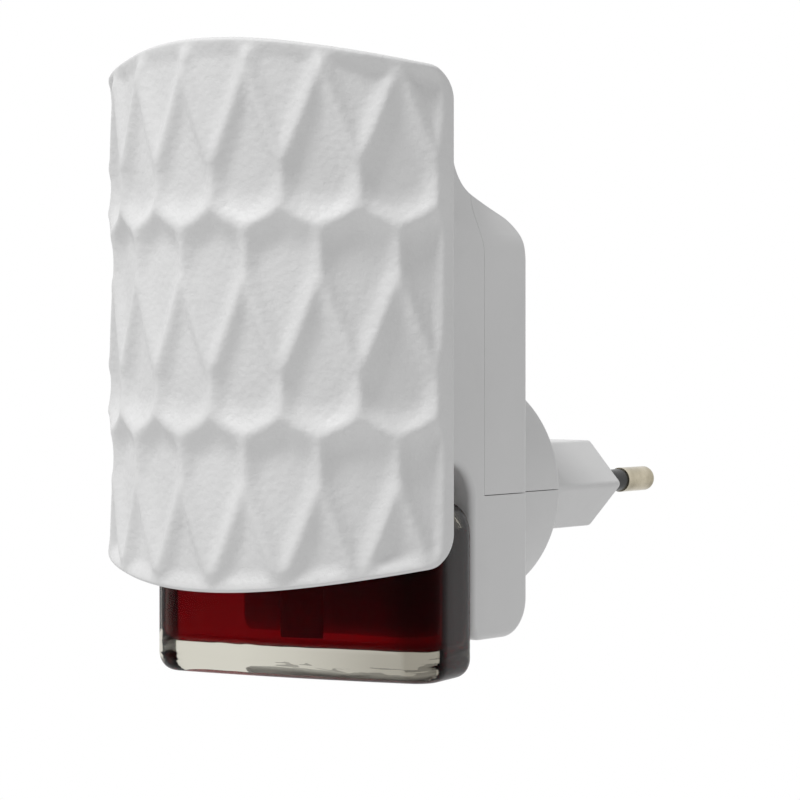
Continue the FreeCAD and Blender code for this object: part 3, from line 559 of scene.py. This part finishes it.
def frontDistance(arcGrid, heightGrid, halfArc, low, high):
    # how far the embossed face lies from the shade's axis
    s = shade
    inside, level, side = edgeDistance(arcGrid, heightGrid, low, high)
    # the pattern fades out to smooth bands along the edges; the side bands lean back
    kept = smoothStep(level, s["fadeFrom"], s["fadeTo"])
    edge = np.where(heightGrid > (low + high) / 2, s["edgeTop"], s["edgeLow"])
    outer = smoothStep(np.abs(arcGrid) / halfArc, s["sideFrom"], s["sideTo"])
    band = edge * (1 - outer) + s["edgeSide"] * outer
    depth = reliefAt(arcGrid, heightGrid, halfArc, low, high) * kept + band * (1 - kept)
    strip = smoothStep(side, s["stripFrom"], s["stripTo"])
    lean = s["stripLevel"] + s["stripTilt"] * np.clip(1 - side / s["stripTo"], 0.0, 1.0)
    depth = depth * strip + lean * (1 - strip)
    into = np.maximum(s["rim"] - inside, 0)
    roll = s["rim"] - np.sqrt(np.maximum(s["rim"] ** 2 - into ** 2, 0))
    return s["radius"] + s["crest"] - depth - roll


def editAll(piece, operation, **options):
    selectOnly(piece)
    bpy.ops.object.mode_set(mode="EDIT")
    bpy.ops.mesh.select_all(action="SELECT")
    operation(**options)
    bpy.ops.object.mode_set(mode="OBJECT")


def makeBosses(frontY, axisY):
    # the posts that join the shade to the housing
    s = shadeBoss
    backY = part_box("front_housing")[0][1]
    bosses = []
    for side in (-1, 1):
        for z in s["zs"]:
            boss = addRod("boss", (side * s["x"], (frontY + backY) / 2, z), s["radius"],
                          backY - frontY, (math.pi / 2, 0.0, 0.0), s["sides"])
            bevelWhere(boss, s["bevel"], s["bevelSteps"],
                       lambda a, b: min(a.y, b.y) > backY - s["endReach"])
            # its front end follows the shade's wall, just inside it
            for vertex in boss.data.vertices:
                if vertex.co.y < frontY + s["endReach"]:
                    reach = shade["radius"] - s["sink"]
                    vertex.co.y = axisY - math.sqrt(reach ** 2 - vertex.co.x ** 2)
            bosses.append(boss)
    return bosses


def makeShade():
    s = shade
    low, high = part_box("front_shade")
    axisY = low[1] + s["radius"]
    halfArc = s["radius"] * math.radians(s["halfAngle"])
    clearSelection()
    bpy.ops.mesh.primitive_grid_add(x_subdivisions=s["columns"], y_subdivisions=s["rows"], size=2.0)
    piece = startPiece("embossedShade")
    mesh = piece.data
    count = len(mesh.vertices)
    flat = np.empty(count * 3)
    mesh.vertices.foreach_get("co", flat)
    flat = flat.reshape(-1, 3)
    columns = np.rint((flat[:, 0] + 1) / 2 * s["columns"]).astype(int)
    rows = np.rint((flat[:, 1] + 1) / 2 * s["rows"]).astype(int)
    arcs = gridPlaces(s["columns"], s["rimSteps"], s["rim"] / halfArc) * halfArc
    shares = (gridPlaces(s["rows"], s["rimSteps"], 2 * s["rim"] / (high[2] - low[2])) + 1) / 2
    arcGrid = np.repeat(arcs[None, :], s["rows"] + 1, axis=0)
    archLow, archTop, corner = shadeOutline(arcGrid, low[2], high[2])
    heightGrid = (archLow + corner) + (archTop - archLow - 2 * corner) * shares[:, None]
    distance = frontDistance(arcGrid, heightGrid, halfArc, low[2], high[2])

    def placed(radius):
        turn = arcGrid / s["radius"]
        return np.stack([radius * np.sin(turn), axisY - radius * np.cos(turn), heightGrid], axis=-1)

    front = placed(distance)[rows, columns]
    back = placed(np.full_like(distance, s["radius"] - s["wall"]))[rows, columns]
    mesh.vertices.foreach_set("co", front.ravel())
    mesh.update()
    editAll(piece, bpy.ops.mesh.extrude_region)
    places = np.empty(len(mesh.vertices) * 3)
    mesh.vertices.foreach_get("co", places)
    places = places.reshape(-1, 3)
    picked = np.empty(len(mesh.vertices), dtype=bool)
    mesh.vertices.foreach_get("select", picked)
    # the extruded copy keeps the order of the grid, and goes to the inner face
    places[picked] = back
    mesh.vertices.foreach_set("co", places.ravel())
    mesh.update()
    editAll(piece, bpy.ops.mesh.normals_make_consistent, inside=False)
    joinPieces(piece, makeBosses(low[1], axisY))
    smoothByAngle(piece, s["smoothing"])
    wear(piece, "shade")
    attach(piece, "housing")
    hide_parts("front_shade")
    print("shade made:", len(mesh.polygons), "faces")


makeShade()


# the glass refill

bottle = {
    "width": 47.6 * mm, "depth": 17.4 * mm, "turn": math.radians(12.0),
    "frontRadius": 200.0 * mm, "corner": 5.0 * mm, "cornerSteps": 10, "frontSteps": 28, "sideSteps": 3,
    "shoulderRound": (3.8 * mm, 5.2 * mm), "footRound": (2.4 * mm, 2.8 * mm), "steps": 9,
    "wall": 2.0 * mm, "base": 4.6 * mm,
    "innerShoulder": (2.6 * mm, 3.38 * mm), "innerFoot": (1.6 * mm, 1.6 * mm),
    "neckRadius": 8.0 * mm, "neckSides": 72, "neckHeight": 5.4 * mm, "neckSink": 1.0 * mm,
    "boreRadius": 6.3 * mm, "boreLength": 14.0 * mm, "boreRise": 1.0 * mm,
    "pushUp": 0.7 * mm, "pushIn": 1.5 * mm, "overlap": 0.08 * mm, "oilGap": 4.2 * mm,
    "smoothing": 32.0, "samePlace": 0.001 * mm,
}


def selectLevel(piece, facing):
    # picks the one flat face at the very top or bottom
    selectOnly(piece)
    bpy.ops.object.mode_set(mode="EDIT")
    bpy.ops.mesh.select_mode(type="FACE")
    bpy.ops.mesh.select_all(action="DESELECT")
    bpy.ops.object.mode_set(mode="OBJECT")
    best = max(piece.data.polygons, key=lambda face: (facing * face.normal.z > 0.9) * face.area)
    best.select = True
    bpy.ops.object.mode_set(mode="EDIT")


def roundEnd(piece, facing, inward, along, steps):
    # rounds the rim of an end by stepped insets that follow a quarter ellipse
    selectLevel(piece, facing)
    bpy.ops.transform.translate(value=(0.0, 0.0, -facing * along))
    turns = [math.pi / 2 * number / steps for number in range(steps + 1)]
    for before, after in zip(turns, turns[1:]):
        bpy.ops.mesh.inset(thickness=inward * (math.cos(before) - math.cos(after)))
        rise = facing * along * (math.sin(after) - math.sin(before))
        bpy.ops.transform.translate(value=(0.0, 0.0, rise))
    bpy.ops.object.mode_set(mode="OBJECT")


def arcPlaces(centre, radius, fromAngle, toAngle, steps):
    turns = [fromAngle + (toAngle - fromAngle) * number / steps for number in range(steps + 1)]
    return [(centre[0] + radius * math.cos(turn), centre[1] + radius * math.sin(turn)) for turn in turns]


def bottleOutline(low, high, inset):
    # the plan of the bottle: a bowed front, flat sides and back, and rounded corners
    s = bottle
    corner = s["corner"] - inset / 2
    half = (high[0] - low[0]) / 2 - inset
    bowY = low[1] + s["frontRadius"]
    reach = s["frontRadius"] - inset - corner
    frontX = half - corner
    frontY = bowY - math.sqrt(reach ** 2 - frontX ** 2)
    lean = math.atan2(frontY - bowY, frontX)
    back = high[1] - inset - corner
    sideYs = [frontY + (back - frontY) * number / s["sideSteps"] for number in range(1, s["sideSteps"])]
    places = arcPlaces((0.0, bowY), s["frontRadius"] - inset, -math.pi - lean, lean, s["frontSteps"])
    places += arcPlaces((frontX, frontY), corner, lean, 0.0, s["cornerSteps"])
    places += [(half, y) for y in sideYs]
    places += arcPlaces((frontX, back), corner, 0.0, math.pi / 2, s["cornerSteps"])
    places += arcPlaces((-frontX, back), corner, math.pi / 2, math.pi, s["cornerSteps"])
    places += [(-half, y) for y in reversed(sideYs)]
    places += arcPlaces((-frontX, frontY), corner, math.pi, math.pi - lean, s["cornerSteps"])
    kept = []
    for place in places:
        if all(math.dist(place, other) > s["samePlace"] for other in kept):
            kept.append(place)
    # turned about the neck, as the refill hangs in the photo
    centreY = (low[1] + high[1]) / 2
    cosine, sine = math.cos(s["turn"]), math.sin(s["turn"])
    return [(x * cosine - (y - centreY) * sine, centreY + x * sine + (y - centreY) * cosine)
            for x, y in kept]


def roundedBlock(name, low, high, inset, bottom, top, topRound, bottomRound):
    # a many-sided rod whose rings are moved onto the outline, with rounded ends
    s = bottle
    middle = Vector((0.0, (low[1] + high[1]) / 2, (bottom + top) / 2))
    places = bottleOutline(low, high, inset)
    piece = addRod(name, middle, (high[1] - low[1]) / 2, top - bottom, sides=len(places))

    def around(place):
        return math.atan2(place[1] - middle.y, place[0])

    places.sort(key=around)
    for level in (-1, 1):
        ring = [vertex for vertex in piece.data.vertices if level * (vertex.co.z - middle.z) > 0]
        ring.sort(key=lambda vertex: around(vertex.co))
        for vertex, place in zip(ring, places):
            vertex.co.x, vertex.co.y = place
    for facing, sizes in ((1, topRound), (-1, bottomRound)):
        if sizes:
            roundEnd(piece, facing, *sizes, s["steps"])
    return piece


def makeBottle():
    s = bottle
    capLow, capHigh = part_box("neck_cap")
    centreY = (capLow[1] + capHigh[1]) / 2
    low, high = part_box("refill_bottle")
    low = Vector((-s["width"] / 2, centreY - s["depth"] / 2, low[2]))
    high = Vector((s["width"] / 2, centreY + s["depth"] / 2, high[2]))
    shoulderZ = high[2] - s["neckHeight"]
    glass = roundedBlock("refillGlass", low, high, 0.0, low[2], shoulderZ,
                         s["shoulderRound"], s["footRound"])
    # the foot is pushed up a little in the middle, as pressed bottles are
    selectLevel(glass, -1)
    turns = [math.pi * number / s["steps"] for number in range(s["steps"] + 1)]
    for before, after in zip(turns, turns[1:]):
        bpy.ops.mesh.inset(thickness=s["pushIn"] / s["steps"])
        rise = s["pushUp"] / 2 * (math.cos(before) - math.cos(after))
        bpy.ops.transform.translate(value=(0.0, 0.0, rise))
    bpy.ops.object.mode_set(mode="OBJECT")
    neckMiddle = shoulderZ + (s["neckHeight"] - s["neckSink"]) / 2
    neck = addRod("neck", (0.0, centreY, neckMiddle), s["neckRadius"], s["neckHeight"] + s["neckSink"],
                  sides=s["neckSides"])
    combine(glass, neck, "UNION")
    floorZ = low[2] + s["base"]
    cavity = roundedBlock("cavity", low, high, s["wall"], floorZ, shoulderZ - s["wall"],
                          s["innerShoulder"], s["innerFoot"])
    combine(glass, cavity, "DIFFERENCE")
    bore = addRod("bore", (0.0, centreY, shoulderZ + s["boreRise"]), s["boreRadius"], s["boreLength"],
                  sides=s["neckSides"])
    combine(glass, bore, "DIFFERENCE")
    smoothByAngle(glass, s["smoothing"])
    wear(glass, "glass")
    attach(glass, "refill")
    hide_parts("refill_bottle")
    # the oil reaches a hair into the glass, so that no air shows between them
    oil = roundedBlock("refillOil", low, high, s["wall"] - s["overlap"], floorZ - s["overlap"],
                       shoulderZ - s["oilGap"], None, s["innerFoot"])
    smoothByAngle(oil, s["smoothing"])
    wear(oil, "oil")
    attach(oil, "refill")
    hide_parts("fragrance_oil")
    print("refill made:", len(glass.data.polygons), "faces of glass")


makeBottle()


# floor, light and camera

studio = {
    "floorDrop": 120.0 * mm, "floorSize": 6.0, "floorLight": tone(238, 238, 238),
    "floorDark": tone(234, 234, 234), "floorRoughness": 0.9, "mistScale": 6.0,
    "nearReach": 0.2, "farReach": 0.5, "nearWhite": 0.5, "white": (1.0, 1.0, 1.0, 1.0),
    "keyPlace": (-0.18, -0.58, 1.016), "keySize": 0.3, "keyPower": 8.1, "worldLight": 0.5,
}

camera = {
    "lens": 135.0, "azimuth": 38.0, "distance": 0.456, "sideways": -0.0061, "horizon": 327.0,
    "horizonZ": 0.0252, "sensor": 36.0, "pictureSize": 800.0,
}


def whiteShare(paint):
    # one for the rays of the camera, of gloss and of glass, which see the backdrop white
    seen, gloss, through = (paint.add("ShaderNodeLightPath", out=name)
                            for name in ("Is Camera Ray", "Is Glossy Ray", "Is Transmission Ray"))
    return seen.maths("MAXIMUM", gloss).maths("MAXIMUM", through)


def makeFloor():
    s = studio
    clearSelection()
    bpy.ops.mesh.primitive_plane_add(size=s["floorSize"])
    floor = startPiece("studioFloor")
    floor.location = (0, (cadBounds[0][1] + cadBounds[1][1]) / 2, cadBounds[0][2] - s["floorDrop"])
    applyPlace(floor)
    paint = newPaint("paleFloor")
    mist = paint.noise(s["mistScale"], 2.0)
    paint.set(Base_Color=paint.mix(mist, s["floorLight"], s["floorDark"]), Roughness=s["floorRoughness"])
    away = paint.add("ShaderNodeVectorMath", {"operation": "LENGTH"}, [paint.place], out="Value")
    faded = paint.mapRange(away, s["nearReach"], s["farReach"], s["nearWhite"], 1.0)
    glow = paint.add("ShaderNodeEmission", None, {"Color": s["white"]}, out="Emission")
    paint.blend(whiteShare(paint) * faded, glow)
    floor.data.materials.append(paint.owner)


def makeWorld():
    world = bpy.data.worlds.new("studioWorld")
    bpy.context.scene.world = world
    paint = Paint(world)
    plain = paint.tree.nodes["Background"]
    plain.inputs["Color"].default_value = studio["white"]
    plain.inputs["Strength"].default_value = studio["worldLight"]
    backdrop = paint.add("ShaderNodeBackground", None, {"Color": studio["white"]}, out="Background")
    paint.blend(whiteShare(paint), backdrop, "Background", "World Output")


def addLamp(name, place, size, power):
    clearSelection()
    bpy.ops.object.light_add(type="AREA", location=place)
    lamp = bpy.context.object
    lamp.name = name
    lamp.data.size = size
    lamp.data.energy = power
    aim = (cadBounds[0] + cadBounds[1]) / 2 - Vector(place)
    lamp.rotation_euler = aim.to_track_quat("-Z", "Y").to_euler()


def makeCamera():
    s = camera
    turn = math.radians(s["azimuth"])
    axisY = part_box("front_shade")[0][1] + shade["radius"]
    right = Vector((math.cos(turn), math.sin(turn), 0))
    forward = Vector((-math.sin(turn), math.cos(turn), 0))
    place = Vector((0, axisY, s["horizonZ"])) - right * s["sideways"] - forward * s["distance"]
    clearSelection()
    bpy.ops.object.camera_add(location=place, rotation=(math.pi / 2, 0.0, turn))
    view = bpy.context.object
    view.data.sensor_width = s["sensor"]
    view.data.lens = s["lens"]
    # the horizon's row in the photo, counted from its middle
    view.data.shift_y = (s["horizon"] - s["pictureSize"] / 2) / s["pictureSize"]
    bpy.context.scene.camera = view


makeFloor()
makeWorld()
addLamp("keyLamp", studio["keyPlace"], studio["keySize"], studio["keyPower"])
makeCamera()
print("studio ready")
